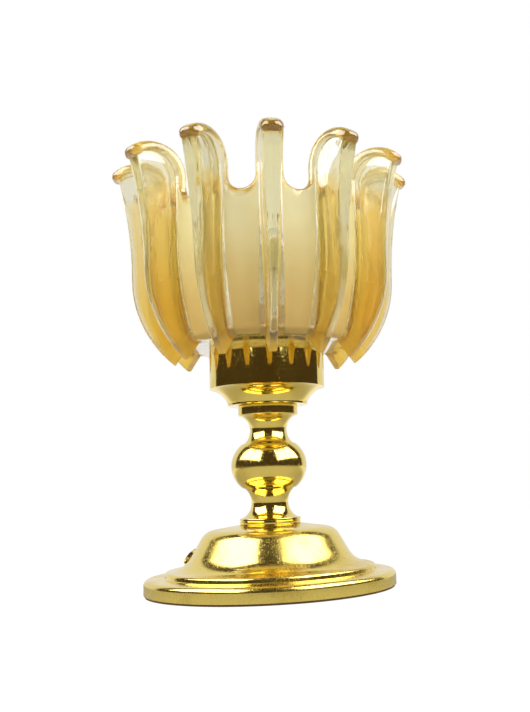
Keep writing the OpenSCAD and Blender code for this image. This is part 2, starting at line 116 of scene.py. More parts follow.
def turnOnLathe(name, outline, steps=128, sharpDeg=32):
    # draws the half section by extruding one vertex along it, then spins it round the axis
    deselectAll()
    bpy.ops.mesh.primitive_plane_add(size=0.001, location=(0, 0, 0))
    obj = bpy.context.object
    bpy.ops.object.mode_set(mode="EDIT")
    bpy.ops.mesh.select_all(action="SELECT")
    bpy.ops.mesh.merge(type="CENTER")
    spot = Vector((outline[0][0] * mm, 0, outline[0][1] * mm))
    bpy.ops.transform.translate(value=spot)
    for r, z in outline[1:] + outline[:1]:
        following = Vector((r * mm, 0, z * mm))
        bpy.ops.mesh.extrude_region_move(TRANSFORM_OT_translate={"value": following - spot})
        spot = following
    bpy.ops.mesh.select_all(action="SELECT")
    bpy.ops.mesh.remove_doubles(threshold=0.000001)
    bpy.ops.mesh.spin(steps=steps, angle=2 * math.pi, center=(0, 0, 0), axis=(0, 0, 1))
    bpy.ops.object.mode_set(mode="OBJECT")
    return finishMesh(obj, name, sharpDeg)


def settle(obj, body, slot, material, *nodes):
    # rides on its body, takes its finish and stands for its nodes
    obj.data.materials.clear()
    obj.data.materials.append(material)
    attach(obj, body)
    if nodes:
        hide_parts(*nodes)
    return obj


# materials

class Wire:
    # a socket that takes part in sums, so that a pattern reads as a formula
    def __init__(self, tree, socket):
        self.tree = tree
        self.socket = socket

    def maths(self, operation, *values):
        return addNode(self.tree, "ShaderNodeMath", {"operation": operation}, dict(enumerate(values)))

    def __add__(self, other):
        return self.maths("ADD", self, other)

    __radd__ = __add__

    def __mul__(self, other):
        return self.maths("MULTIPLY", self, other)

    __rmul__ = __mul__

    def __sub__(self, other):
        return self.maths("SUBTRACT", self, other)

    def __rsub__(self, other):
        return self.maths("SUBTRACT", other, self)

    def larger(self, other):
        return self.maths("MAXIMUM", self, other)

    def clamped(self, low, high):
        # 0 at low and 1 at high
        return addNode(self.tree, "ShaderNodeMapRange", {"interpolation_type": "SMOOTHSTEP"},
                       {"Value": self, "From Min": low, "From Max": high})


def addNode(tree, kind, settings=None, values=None, output=0):
    # adds one node: its settings first, then the values or links of its sockets
    node = tree.nodes.new(kind)
    for key, value in (settings or {}).items():
        setattr(node, key, value)
    for key, value in (values or {}).items():
        socket = node.inputs[key]
        if isinstance(value, Wire):
            tree.links.new(value.socket, socket)
        else:
            socket.default_value = value
    return Wire(tree, node.outputs[output])


def newMaterial(name, **values):
    # a principled material whose fixed values are set on the shader itself
    material = bpy.data.materials.new(name)
    material.use_nodes = True
    shader = material.node_tree.nodes["Principled BSDF"]
    for key, value in values.items():
        shader.inputs[key].default_value = value
    return material, material.node_tree, shader


def feed(tree, node, key, wire):
    tree.links.new(wire.socket, node.inputs[key])


def objectPlace(tree):
    return addNode(tree, "ShaderNodeTexCoord", output="Object")


def partOf(tree, place, axis):
    return addNode(tree, "ShaderNodeSeparateXYZ", None, {"Vector": place}, axis)


def vertexValue(tree, name):
    return addNode(tree, "ShaderNodeAttribute", {"attribute_name": name}, output="Fac")


def noise(tree, place, scale, detail=3.0, roughness=0.55):
    return addNode(tree, "ShaderNodeTexNoise", None,
                   {"Vector": place, "Scale": scale, "Detail": detail, "Roughness": roughness})


def stretched(tree, place, scale):
    return addNode(tree, "ShaderNodeMapping", None, {"Vector": place, "Scale": scale})


def tint(tree, factor, first, second):
    # from the first colour to the second: either may be a wire or plain red, green and blue
    first, second = (c if isinstance(c, Wire) else (*c, 1) for c in (first, second))
    return addNode(tree, "ShaderNodeMix", {"data_type": "RGBA"}, {0: factor, 6: first, 7: second}, 2)


def layered(tree, factor, first, second):
    # from the first shader to the second
    return addNode(tree, "ShaderNodeMixShader", None, {0: factor, 1: first, 2: second})


def bump(tree, height, distance, strength=1.0):
    return addNode(tree, "ShaderNodeBump", None,
                   {"Height": height, "Distance": distance, "Strength": strength})


brassFinish = {"base": (0.88, 0.69, 0.18), "dull": (0.72, 0.50, 0.08)}
agedFinish = {"base": (0.62, 0.46, 0.14), "dull": (0.36, 0.25, 0.08)}
buffing = {"rings": 2400.0, "depth": 0.000025, "strength": 0.65}


def polishedBrass(name, finish, roughness):
    # lathe-turned and polished: faint rings from the buffing wheel, smears of tarnish and tiny specks
    material, tree, shader = newMaterial(name, Metallic=1.0)
    place = objectPlace(tree)
    smear = noise(tree, place, 28.0, 5.0, 0.6).clamped(0.42, 0.72)
    speck = noise(tree, place, 900.0, 2.0, 0.7).clamped(0.66, 0.74)
    wiping = noise(tree, stretched(tree, place, (60.0, 60.0, 900.0)), 1.0, 3.0, 0.6)
    grain = noise(tree, place, 1400.0, 3.0, 0.7)
    scratch = noise(tree, stretched(tree, place, (1500.0, 90.0, 700.0)), 1.0, 2.0, 0.7).clamped(0.58, 0.66)
    level = partOf(tree, place, "Z") * buffing["rings"]
    rings = noise(tree, addNode(tree, "ShaderNodeCombineXYZ", None, {"Z": level}), 1.0, 2.0, 0.6)
    tarnish = (smear * 0.55 + speck * 0.45 + scratch * 0.2).clamped(0.0, 1.0)
    relief = rings * 0.4 + wiping * 0.4 + scratch * 0.4 + grain * roughness * 3.0
    dulling = roughness * (0.7 + smear * 0.9 + wiping * 0.5) + speck * 0.2 + scratch * 0.12
    feed(tree, shader, "Base Color", tint(tree, tarnish, finish["base"], finish["dull"]))
    feed(tree, shader, "Roughness", dulling)
    feed(tree, shader, "Normal", bump(tree, relief, buffing["depth"], buffing["strength"]))
    return material


# the greyish clear colour is painted shade; the rim and brown colours are painted shade along the glass's
# edges; the satin colour is the etched wall in the painted shade near the bowl's bottom, paling above it
glassFinish = {
    "clear": (0.86, 0.85, 0.82), "rim": (0.99, 0.70, 0.08), "brown": (0.78, 0.42, 0.05),
    "satin": (0.88, 0.62, 0.19), "satinAboveShade": (0.97, 0.88, 0.46), "paintedShadeFadeFrom": 0.145, "paintedShadeFadeTo": 0.245,
    "gloss": 0.02, "matt": 0.65, "mattThrough": 0.38, "etch": 0.94, "haze": 0.07,
    "tint": (0.98, 0.88, 0.02), "depth": 18.0, "ior": 1.5, "lustre": 1.8,
}


def pressedGlass():
    # amber all through, clear where it was fire-polished, satin where it was etched; browner along the rims
    # as painted shade, the etched wall painted darker towards the bottom as painted shade, and the fins'
    # lowest part painted satin amber as painted light
    look = glassFinish
    material, tree, clear = newMaterial("pressedGlass", Roughness=look["gloss"], IOR=look["ior"],
                                        **{"Transmission Weight": 1.0, "Coat Weight": 1.0,
                                           "Coat IOR": look["lustre"]})
    place = objectPlace(tree)
    rim = vertexValue(tree, "rim")
    etched = vertexValue(tree, "etched")
    swell = noise(tree, place, 45.0, 2.0, 0.5)
    ripple = noise(tree, stretched(tree, place, (160.0, 160.0, 30.0)), 1.0, 2.0, 0.5)
    streak = noise(tree, stretched(tree, place, (600.0, 600.0, 110.0)), 1.0, 2.0, 0.5).clamped(0.52, 0.72)
    grain = noise(tree, place, 2600.0, 2.0, 0.6)
    cloud = noise(tree, place, 22.0, 3.0, 0.5)
    # the strongest rims, over the petals' tips, round the bays' bottoms and low at the fins' roots, turn
    # brown: painted shade
    deepEdgeShade = rim.clamped(0.84, 1.0)
    edge = tint(tree, deepEdgeShade, look["rim"], look["brown"])
    # the clear glass is tinted grey as painted shade, standing in for surroundings darker than the white it
    # sees through
    feed(tree, clear, "Base Color", tint(tree, rim, look["clear"], edge))
    feed(tree, clear, "Normal", bump(tree, swell * 0.6 + ripple * 0.5 + streak * 0.07, 0.0008, 0.55))
    # the etched wall is painted darker amber towards the bottom of the bowl as painted shade, with a random
    # cloud of paler tone
    outOfPaintedShade = partOf(tree, place, "Z").clamped(look["paintedShadeFadeFrom"], look["paintedShadeFadeTo"])
    outOfShadeAndCloud = (outOfPaintedShade + cloud * 0.3 - 0.1).clamped(0.0, 1.0)
    frostedWithShade = tint(tree, outOfShadeAndCloud, look["satin"], look["satinAboveShade"])
    satin = addNode(tree, "ShaderNodeBsdfPrincipled", None, {
        "Roughness": look["matt"], "IOR": look["ior"], "Transmission Weight": look["mattThrough"],
        "Base Color": tint(tree, rim, frostedWithShade, edge), "Normal": bump(tree, grain, 0.00004, 0.5)})
    cover = (etched * look["etch"]).larger(look["haze"] + rim * 0.3 - deepEdgeShade * 0.2)
    whole = layered(tree, cover, Wire(tree, clear.outputs[0]), satin)
    body = addNode(tree, "ShaderNodeVolumeAbsorption", None,
                   {"Color": (*look["tint"], 1), "Density": look["depth"]})
    output = tree.nodes["Material Output"]
    feed(tree, output, "Surface", whole)
    feed(tree, output, "Volume", body)
    return material


def feltPad():
    material, tree, shader = newMaterial("feltPad", Roughness=0.95)
    place = objectPlace(tree)
    fibre = noise(tree, place, 1500.0, 4.0, 0.7)
    feed(tree, shader, "Base Color", tint(tree, fibre, (0.13, 0.075, 0.04), (0.26, 0.16, 0.09)))
    feed(tree, shader, "Normal", bump(tree, fibre, 0.0003))
    return material


def castIron():
    material, tree, shader = newMaterial("castIron", Metallic=0.7)
    place = objectPlace(tree)
    grit = noise(tree, place, 700.0, 5.0, 0.7)
    feed(tree, shader, "Base Color", tint(tree, grit, (0.07, 0.07, 0.075), (0.17, 0.16, 0.155)))
    feed(tree, shader, "Roughness", 0.55 + grit * 0.3)
    feed(tree, shader, "Normal", bump(tree, grit, 0.0003))
    return material


def platedSteel():
    material, tree, shader = newMaterial("platedSteel", Metallic=1.0)
    place = objectPlace(tree)
    spangle = noise(tree, place, 260.0, 3.0, 0.6)
    feed(tree, shader, "Base Color", tint(tree, spangle, (0.56, 0.56, 0.54), (0.72, 0.71, 0.68)))
    feed(tree, shader, "Roughness", 0.24 + spangle * 0.16)
    feed(tree, shader, "Normal", bump(tree, noise(tree, place, 1200.0), 0.00003))
    return material


def glazedPorcelain():
    material, tree, shader = newMaterial("glazedPorcelain", Roughness=0.12)
    place = objectPlace(tree)
    cloud = noise(tree, place, 90.0, 3.0, 0.5)
    feed(tree, shader, "Base Color", tint(tree, cloud, (0.86, 0.84, 0.78), (0.93, 0.92, 0.88)))
    feed(tree, shader, "Normal", bump(tree, noise(tree, place, 160.0), 0.00006))
    return material


def rolledMetal():
    material, tree, shader = newMaterial("rolledMetal", Metallic=1.0)
    place = objectPlace(tree)
    scuff = noise(tree, stretched(tree, place, (300.0, 300.0, 2600.0)), 1.0)
    feed(tree, shader, "Base Color", tint(tree, scuff, (0.66, 0.65, 0.62), (0.80, 0.79, 0.76)))
    feed(tree, shader, "Roughness", 0.2 + scuff * 0.18)
    return material


def blackGlass():
    material, tree, shader = newMaterial("blackGlass", Roughness=0.08)
    cloud = noise(tree, objectPlace(tree), 300.0)
    feed(tree, shader, "Base Color", tint(tree, cloud, (0.012, 0.012, 0.014), (0.03, 0.03, 0.034)))
    return material


def bulbGlass():
    material, tree, shader = newMaterial("bulbGlass", Roughness=0.0, IOR=1.45,
                                         **{"Transmission Weight": 1.0})
    place = objectPlace(tree)
    draw = noise(tree, stretched(tree, place, (40.0, 40.0, 240.0)), 1.0, 2.0, 0.5)
    feed(tree, shader, "Base Color", tint(tree, draw, (0.985, 0.99, 0.985), (0.96, 0.975, 0.965)))
    feed(tree, shader, "Normal", bump(tree, draw, 0.00008, 0.5))
    return material


def tungsten():
    material, tree, shader = newMaterial("tungsten", Metallic=1.0)
    place = objectPlace(tree)
    grain = noise(tree, place, 5000.0)
    feed(tree, shader, "Base Color", tint(tree, grain, (0.36, 0.35, 0.34), (0.52, 0.51, 0.50)))
    feed(tree, shader, "Roughness", 0.3 + grain * 0.2)
    return material


spunBrass = polishedBrass("spunBrass", brassFinish, 0.15)
turnedBrass = polishedBrass("turnedBrass", brassFinish, 0.10)
brass = polishedBrass("polishedBrass", brassFinish, 0.06)
agedBrass = polishedBrass("agedBrass", agedFinish, 0.26)
amberGlass = pressedGlass()
felt = feltPad()
iron = castIron()
steel = platedSteel()
porcelain = glazedPorcelain()
bulbMetal = rolledMetal()
black = blackGlass()
clearBulb = bulbGlass()
wire = tungsten()
print("materials made")


# the foot: spun from sheet, closed by a felt pad

foot = {
    "radius": 76.0, "padTop": 1.2, "wall": 1.2,
    "rimTop": 9.8, "rimRound": 3.0, "ledgeWidth": 9.2, "ledgeRise": 0.48,
    "lipHeight": 3.8, "lipRound": 1.9, "lipFoot": 0.9, "lipFootRise": 1.4,
    "sweep": 16.0, "lean": 30.0, "side": 11.6, "shoulder": 10.7, "topSlope": 8.5,
    "seatRadius": 18.7, "bore": 5.1,
}


def footOutline(depth):
    # from the pad over rim, lip and dome to the bore, this deep under the surface
    lipRadius = foot["radius"] - foot["rimRound"] - foot["ledgeWidth"]
    lipTop = foot["rimTop"] + foot["lipHeight"]
    lipRound, lipFoot = foot["lipRound"], foot["lipFoot"]
    sweep, shoulder = foot["sweep"], foot["shoulder"]
    lean = math.radians(foot["lean"])
    slope = math.radians(foot["topSlope"])
    sweepCentre = (lipRadius - lipRound, lipTop + sweep)
    low = (sweepCentre[0] - sweep * math.cos(lean), sweepCentre[1] - sweep * math.sin(lean))
    high = (low[0] - foot["side"] * math.sin(lean), low[1] + foot["side"] * math.cos(lean))
    shoulderCentre = (high[0] - shoulder * math.cos(lean), high[1] - shoulder * math.sin(lean))
    end = (shoulderCentre[0] + shoulder * math.sin(slope), shoulderCentre[1] + shoulder * math.cos(slope))
    seat = end[1] + (end[0] - foot["seatRadius"]) * math.tan(slope)
    return ([(foot["radius"] - depth, foot["padTop"])]
            + arc((foot["radius"] - foot["rimRound"], foot["rimTop"] - foot["rimRound"]),
                  foot["rimRound"] - depth, 0, 90, 10)
            + [(lipRadius + lipFoot - depth, foot["rimTop"] + foot["ledgeRise"] - depth)]
            + arc((lipRadius + lipFoot - depth, foot["rimTop"] + foot["lipFootRise"] - depth),
                  lipFoot, 270, 200, 4)[1:-1]
            + arc((lipRadius - lipRound, lipTop - lipRound), lipRound - depth, 0, 90, 10)
            + arc(sweepCentre, sweep + depth, 270, 180 + foot["lean"], 22)
            + arc(shoulderCentre, shoulder - depth, foot["lean"], 90 - foot["topSlope"], 18)
            + [(foot["seatRadius"], seat - depth), (foot["bore"], seat - depth)])


footShell = turnOnLathe("footShell", footOutline(0.0) + footOutline(foot["wall"])[::-1], 160)
settle(footShell, "base", "polished_brass", spunBrass, "foot_shell")


# the turned stem: spool, ball and spool

stem = {
    "bore": 5.1,
    "disc": 18.7, "discHeight": 3.8, "groove": 0.7, "grooveHalf": 0.5, "edge": 0.6,
    "neck": 11.3, "wide": 17.5, "atBall": 15.5,
    "ball": 23.2, "ballEnd": 16.5,
    "collar": 18.4, "collarHeight": 6.4, "collarEdge": 0.8,
}
discLow = heights("lower_spool")[0]
ballLow, ballTop = heights("stem_ball")
cupLow, glassLow = heights("shade_cup")


def waist(neckHeight, endHeight, endRadius, steps=18):
    # one half of a spool's waist, from the neck to an end
    rise = endHeight - neckHeight
    radius = arcRadius(rise, endRadius - stem["neck"])
    sweep = math.degrees(math.asin(rise / radius))
    return arc((stem["neck"] + radius, neckHeight), radius, 180, 180 - sweep, steps)


def waisted(low, high, lowRadius, highRadius):
    middle = (low + high) / 2
    return waist(middle, low, lowRadius)[::-1] + waist(middle, high, highRadius)[1:]


def lowerOutline():
    # the grooved disc on the dome, then the spool
    disc, edge = stem["disc"], stem["edge"]
    groove = discLow + stem["discHeight"] / 2
    spoolLow = discLow + stem["discHeight"]
    return ([(stem["bore"], discLow), (disc - edge, discLow)]
            + arc((disc - edge, discLow + edge), edge, 290, 360, 4)
            + [(disc, groove - stem["grooveHalf"]), (disc - stem["groove"], groove),
               (disc, groove + stem["grooveHalf"])]
            + arc((disc - edge, spoolLow - edge), edge, 0, 90, 5)
            + waisted(spoolLow, ballLow, stem["wide"], stem["atBall"])
            + [(stem["bore"], ballLow)])


def ballOutline():
    rise = (ballTop - ballLow) / 2
    radius = arcRadius(rise, stem["ball"] - stem["ballEnd"])
    sweep = math.degrees(math.asin(rise / radius))
    return ([(stem["bore"], ballLow)]
            + arc((stem["ball"] - radius, ballLow + rise), radius, -sweep, sweep, 48)
            + [(stem["bore"], ballTop)])


def upperOutline():
    # the spool, then the collar under the cup
    collar, edge = stem["collar"], stem["collarEdge"]
    collarLow = cupLow - stem["collarHeight"]
    return ([(stem["bore"], ballTop)]
            + waisted(ballTop, collarLow, stem["atBall"], stem["wide"])
            + arc((collar - edge, collarLow + edge), edge, 300, 360, 4)
            + arc((collar - edge / 2, cupLow - edge / 2), edge / 2, 0, 90, 4)
            + [(stem["bore"], cupLow)])


settle(turnOnLathe("lowerSpool", lowerOutline()), "base", "polished_brass", turnedBrass, "lower_spool")
settle(turnOnLathe("stemBall", ballOutline()), "base", "polished_brass", turnedBrass, "stem_ball")
settle(turnOnLathe("upperSpool", upperOutline()), "base", "polished_brass", turnedBrass, "upper_spool")
print("foot and stem turned")


# the cup that carries the glass

cup = {
    "radius": 35.7, "base": 24.7, "baseHeight": 1.6, "baseBevel": 0.3, "coveHeight": 9.2, "cove": 15.6,
    "wall": 1.3, "bore": 5.1, "lipRound": 0.45,
}


def cupOutline(depth):
    # from the bore along the base and up the cove, this deep under the surface
    low = (cup["base"], cupLow + cup["baseHeight"])
    high = (cup["radius"], low[1] + cup["coveHeight"])
    half = ((high[0] - low[0]) / 2, (high[1] - low[1]) / 2)
    length = math.hypot(*half)
    out = math.sqrt(cup["cove"] ** 2 - length ** 2)
    centre = (low[0] + half[0] + out * half[1] / length, low[1] + half[1] - out * half[0] / length)
    start = math.degrees(math.atan2(low[1] - centre[1], low[0] - centre[0]))
    end = math.degrees(math.acos((cup["radius"] - depth - centre[0]) / (cup["cove"] + depth)))
    edge = cup["base"] - depth
    bevel = cup["baseBevel"]
    base = [(cup["bore"], cupLow + depth), (edge - bevel, cupLow + depth), (edge, cupLow + depth + bevel)]
    return base + arc(centre, cup["cove"] + depth, start, end, 20)


def cupLip():
    # the rounded top edge, from the outside to the inside
    middle = glassLow - cup["lipRound"]
    outer = arc((cup["radius"] - cup["lipRound"], middle), cup["lipRound"], 0, 90, 5)
    return outer + arc((cup["radius"] - cup["wall"] + cup["lipRound"], middle), cup["lipRound"], 90, 180, 5)


shadeCup = turnOnLathe("shadeCup", cupOutline(0.0) + cupLip() + cupOutline(cup["wall"])[::-1])
settle(shadeCup, "base", "polished_brass", brass, "shade_cup")
print("cup turned")


# the pressed glass bowl with its fins and petals: half of one fin's share is laid out in patches,
# then mirrored and copied round the bowl

glass = {
    "count": 12, "turn": 4.3,
    "under": 49.6, "wall": 6.0, "floor": 6.0, "arcRadius": 202.8, "upright": 65.0, "outer": 65.5,
    "hole": 15.3, "holeRound": 0.8, "holeBevel": 0.25, "holeLand": 3.0, "floorRings": (44.0, 36.0, 26.0),
    "heelFlat": 0.8, "heel": 6.1, "heelTop": 4.2,
    "innerFlat": (43.0, 46.2), "innerHeel": 5.5, "innerHeelTop": 9.8, "wallStart": 0.3,
    "bay": 83.5, "curl": 20.0, "curlRise": 14.5, "petal": 8.0, "petalThick": 6.0, "tipReach": 94.5,
    "finArc": 68.0, "finReach": 82.3, "finHeight": 43.0, "finAngle": 51.6, "flare": 260.0,
    "finWidth": 6.2, "finDraft": 4.0, "finSpread": 2.5, "finLedge": 7.9,
    "finUpright": 0.14, "finClose": 0.96, "finUnder": -107.0,
    "edgeRound": 1.1, "rootRound": 1.2, "innerRound": 2.0, "underRound": 1.3, "crownRound": 5.5,
    "roundLimit": 0.3, "crownLimit": 0.9, "edgeLimit": 0.8, "ledgeLeast": 0.05,
    "tongueRound": 8.0, "tongueTaper": 0.12, "tongueShape": (2.5, 0.45),
}
bottom = glassLow
sector = math.radians(180 / glass["count"])
outer = glass["outer"]
inner = outer - glass["wall"]
floorTop = bottom + glass["floor"]
wallCentre = (outer - glass["arcRadius"], bottom + glass["upright"])
finCentre = (glass["finReach"] - glass["finArc"], bottom + glass["finHeight"])
flareCentre = (glass["finReach"] + glass["flare"], bottom + glass["finHeight"])
curlCentre = (inner + glass["curl"], bottom + glass["bay"] + glass["curlRise"])
tipHalf = glass["petalThick"] / 2
curlMid = glass["curl"] - tipHalf
tipTurn = math.acos((glass["tipReach"] - tipHalf - curlCentre[0]) / curlMid)
tipCentre = (glass["tipReach"] - tipHalf, curlCentre[1] + curlMid * math.sin(tipTurn))
underHalf = glass["petal"] - glass["underRound"]


def bayReach(r, inset):
    # distance from a bay's middle plane to the petal's side, less an inset, at the radius r
    return r * math.sin(sector - math.asin((glass["petal"] - inset) / r))


def lengthOf(path):
    return sum(math.dist(a, b) for a, b in zip(path, path[1:]))


def along(path, distance):
    # the point at that distance along a path
    for a, b in zip(path, path[1:]):
        piece = math.dist(a, b)
        if distance <= piece and piece > 0:
            f = max(distance, 0.0) / piece
            return (a[0] + (b[0] - a[0]) * f, a[1] + (b[1] - a[1]) * f)
        distance -= piece
    return path[-1]


def eased(low, high, value):
    f = min(max((value - low) / (high - low), 0.0), 1.0)
    return f * f * (3 - 2 * f)


def placed(r, z, angle):
    return Vector((r * math.cos(angle) * mm, r * math.sin(angle) * mm, z * mm))


def angleOf(r, t):
    # the angle at which a point stands that far beside the fin's middle plane
    return math.asin(max(min(t / r, 1.0), -1.0))


def wallArc(radius, height):
    # the bowl's wall from its heel, at that height above the bottom, to where it stands upright
    start = glass["wallStart"] - math.degrees(math.asin((glass["upright"] - height) / radius))
    return arc(wallCentre, radius, start, 0, 40)


bayZ = bottom + glass["bay"] + bayReach(outer, 0.0)
heelStart = glass["under"] + glass["heelFlat"]
outerPath = ([(glass["under"], bottom), (heelStart, bottom)]
             + arc((heelStart, bottom + glass["heel"]), glass["heel"], -90, -20, 10)[1:]
             + wallArc(glass["arcRadius"], glass["heelTop"])
             + [(outer, bayZ)])
innerHeel = glass["innerHeel"]
innerPath = ([(r, floorTop) for r in glass["innerFlat"]]
             + arc((glass["innerFlat"][1], floorTop + innerHeel), innerHeel, -90, -18, 10)[1:]
             + wallArc(glass["arcRadius"] - glass["wall"], glass["innerHeelTop"])
             + [(inner, bayZ)])
flareTop = math.degrees(math.asin((bayZ - flareCentre[1]) / glass["flare"]))
edgePath = (arc(finCentre, glass["finArc"], -glass["finAngle"], 0, 40)
            + arc(flareCentre, glass["flare"], 180 - flareTop / 10, 180 - flareTop, 10))


def floorFace(z, inwards, rings):
    # one face of the bowl's floor, from its rings to the rounded edge of the hole
    hole, edge, bevel = glass["hole"], glass["holeRound"], glass["holeBevel"]
    return ([(r, z) for r in rings] + [(hole + glass["holeLand"], z), (hole + edge, z)]
            + [(hole + bevel, z + bevel * inwards), (hole, z + edge * inwards)])


floorPath = ([(glass["under"], bottom)] + floorFace(bottom, 1, glass["floorRings"])
             + floorFace(floorTop, -1, glass["floorRings"][1:])[::-1] + [innerPath[0]])

# columns of faces in each stretch round half a petal and its fin, and the column at which each ends
cols = {"strip": 4, "innerRound": 3, "side": 1, "underRound": 2, "ledge": 2,
        "root": 3, "fin": 6, "edgeRound": 3, "edge": 2}
(stripEnd, crownEnd, sideEnd, underEnd, ledgeEnd,
 rootEnd, flankEnd, edgeRoundEnd, ringSteps) = accumulate(cols.values())
bayCols = 6
finCols = ringSteps - underEnd
finStart = bayCols + cols["ledge"]
flankStop = bayCols + flankEnd - underEnd
stripCols = cols["ledge"] + 2
lowRows = 30
riseRows = 2
curlRows = 16
tipRows = 8

# how the rows crowd at the bottom, from which share of the height up the columns swing over to the bays,
# and how far the column beside the ledge's edge follows it
layout = {
    "outerCrowd": 1.35, "innerCrowd": 1.25,
    "ledgeFrom": 0.3, "bayFrom": 0.55, "innerFrom": 0.1, "ledgeFollow": 0.3,
}


def finHalf(r, z):
    # half the fin's width: its drafted sides
    wide = glass["finWidth"] / 2
    wide += (glass["finReach"] - r) * math.tan(math.radians(glass["finDraft"]))
    return wide + (z - finCentre[1]) * math.tan(math.radians(glass["finSpread"]))


def quarter(k, start, end):
    # how far a quarter round has turned at the column k
    return math.radians(90 * (k - start) / (end - start))


def sectionPoint(k, wallIn, wallOut, finEdge, squeeze):
    # a point of half the ring through petal and fin: k counts from the middle of the inner face
    # round the petal's side and the fin's side to the middle of the fin's edge
    if squeeze["width"] == 0.0:
        return (*wallIn, 0.0)
    thick = math.dist(wallIn, wallOut)
    deep = math.dist(wallOut, finEdge)
    total = thick + deep
    petalHalf = glass["petal"] * squeeze["width"]
    underR = min(glass["underRound"] * squeeze["width"], glass["roundLimit"] * thick)
    rootR = min(glass["rootRound"] * squeeze["width"], glass["roundLimit"] * deep)
    edgeR = min(glass["edgeRound"], glass["roundLimit"] * deep)
    crownR = mixed(glass["innerRound"], glass["crownRound"], squeeze["crown"]) * squeeze["width"]
    innerR = min(crownR, glass["crownLimit"] * (thick - underR))
    rootHalf = min(finHalf(*wallOut), petalHalf - underR - rootR - glass["ledgeLeast"])
    edgeHalf = min(finHalf(*finEdge), petalHalf * glass["edgeLimit"])
    if k <= stripEnd:
        depth, t = 0.0, (petalHalf - crownR) * k / stripEnd
    elif k <= crownEnd:
        turn = quarter(k, stripEnd, crownEnd)
        depth, t = innerR * (1 - math.cos(turn)), petalHalf - crownR * (1 - math.sin(turn))
    elif k <= sideEnd:
        depth, t = mixed(innerR, thick - underR, (k - crownEnd) / (sideEnd - crownEnd)), petalHalf
    elif k <= underEnd:
        turn = quarter(k, sideEnd, underEnd)
        depth, t = thick - underR * (1 - math.sin(turn)), petalHalf - underR * (1 - math.cos(turn))
    elif k <= ledgeEnd:
        f = (k - underEnd) / (ledgeEnd - underEnd)
        depth, t = thick, mixed(petalHalf - underR, rootHalf + rootR, f)
    elif k <= rootEnd:
        turn = quarter(k, ledgeEnd, rootEnd)
        depth, t = thick + rootR * (1 - math.cos(turn)), rootHalf + rootR * (1 - math.sin(turn))
    elif k <= flankEnd:
        f = (k - rootEnd) / (flankEnd - rootEnd)
        depth, t = mixed(thick + rootR, total - edgeR, f), mixed(rootHalf, edgeHalf, f)
    elif k <= edgeRoundEnd:
        turn = quarter(k, flankEnd, edgeRoundEnd)
        depth, t = total - edgeR * (1 - math.sin(turn)), edgeHalf - edgeR * (1 - math.cos(turn))
    else:
        depth, t = total, (edgeHalf - edgeR) * (1 - (k - edgeRoundEnd) / cols["edge"])
    if depth <= thick:
        near, far, f = wallIn, wallOut, depth / thick if thick else 0.0
    else:
        near, far, f = wallOut, finEdge, (depth - thick) / deep if deep else 0.0
    return mixed(near[0], far[0], f), mixed(near[1], far[1], f), t


rooted = {"width": 1.0, "crown": 0.0}


def tongueWidth(beforeEnd):
    # share of its full width that a petal keeps at that distance before its blunt, tapered end
    f = max(1 - beforeEnd / glass["tongueRound"], 0.0)
    taper = glass["tongueTaper"] * eased(4 * glass["tongueRound"], 0.0, beforeEnd)
    near, whole = glass["tongueShape"]
    return (1 - f ** near) ** whole * (1 - taper)


def rowStations():
    # for each ring above the bays: where its inner face, its underside and the fin's edge are
    flare = glass["flare"]
    finLow = math.asin((bayZ - flareCentre[1]) / flare)
    finTop = math.asin((tipCentre[1] - glass["finClose"] * tipHalf - flareCentre[1]) / flare)
    upright = glass["finUpright"]
    rows = []
    for j in range(riseRows + 1):
        f = j / riseRows
        z = mixed(bayZ, curlCentre[1], f)
        edge = pointAt(flareCentre, flare, math.pi - mixed(finLow, finTop, upright * f))
        rows.append(((inner, z), (outer, z), edge, rooted))
    for j in range(1, curlRows + 1):
        f = j / curlRows
        turn = mixed(math.pi, tipTurn, f)
        edge = pointAt(flareCentre, flare, math.pi - mixed(finLow, finTop, mixed(upright, 1.0, f)))
        width = tongueWidth(tipHalf + (1 - f) * (math.pi - tipTurn) * curlMid)
        rows.append((pointAt(curlCentre, glass["curl"], turn),
                     pointAt(curlCentre, glass["curl"] - glass["petalThick"], turn),
                     edge, {"width": width, "crown": eased(0.2, 1.0, f)}))
    for j in range(1, tipRows + 1):
        left = math.cos(math.pi / 2 * j / tipRows) if j < tipRows else 0.0
        width = tongueWidth(tipHalf * (1 - math.cos(left * math.pi / 2)))
        turns = (tipTurn * left, (tipTurn - math.pi) * left, math.radians(glass["finUnder"]) * left)
        points = [pointAt(tipCentre, tipHalf, turn) for turn in turns]
        rows.append((*points, {"width": width, "crown": 1.0}))
    return rows


stations = rowStations()


def crowded(j, power):
    # share of the way up to the bays that a row has gone
    return (j / lowRows) ** power


def topAngle(q, r, inset):
    # angle of the bay's column q on the rounded bottom of the bay
    turn = math.radians(90 * q / bayCols)
    return sector - math.asin(bayReach(r, inset) * math.cos(turn) / r)


def behindPoint(point, ahead, distance):
    # the point that lies that far behind a point, on the line that comes from the one ahead
    toward = math.dist(point, ahead)
    return tuple(p - (a - p) / toward * distance for p, a in zip(point, ahead))


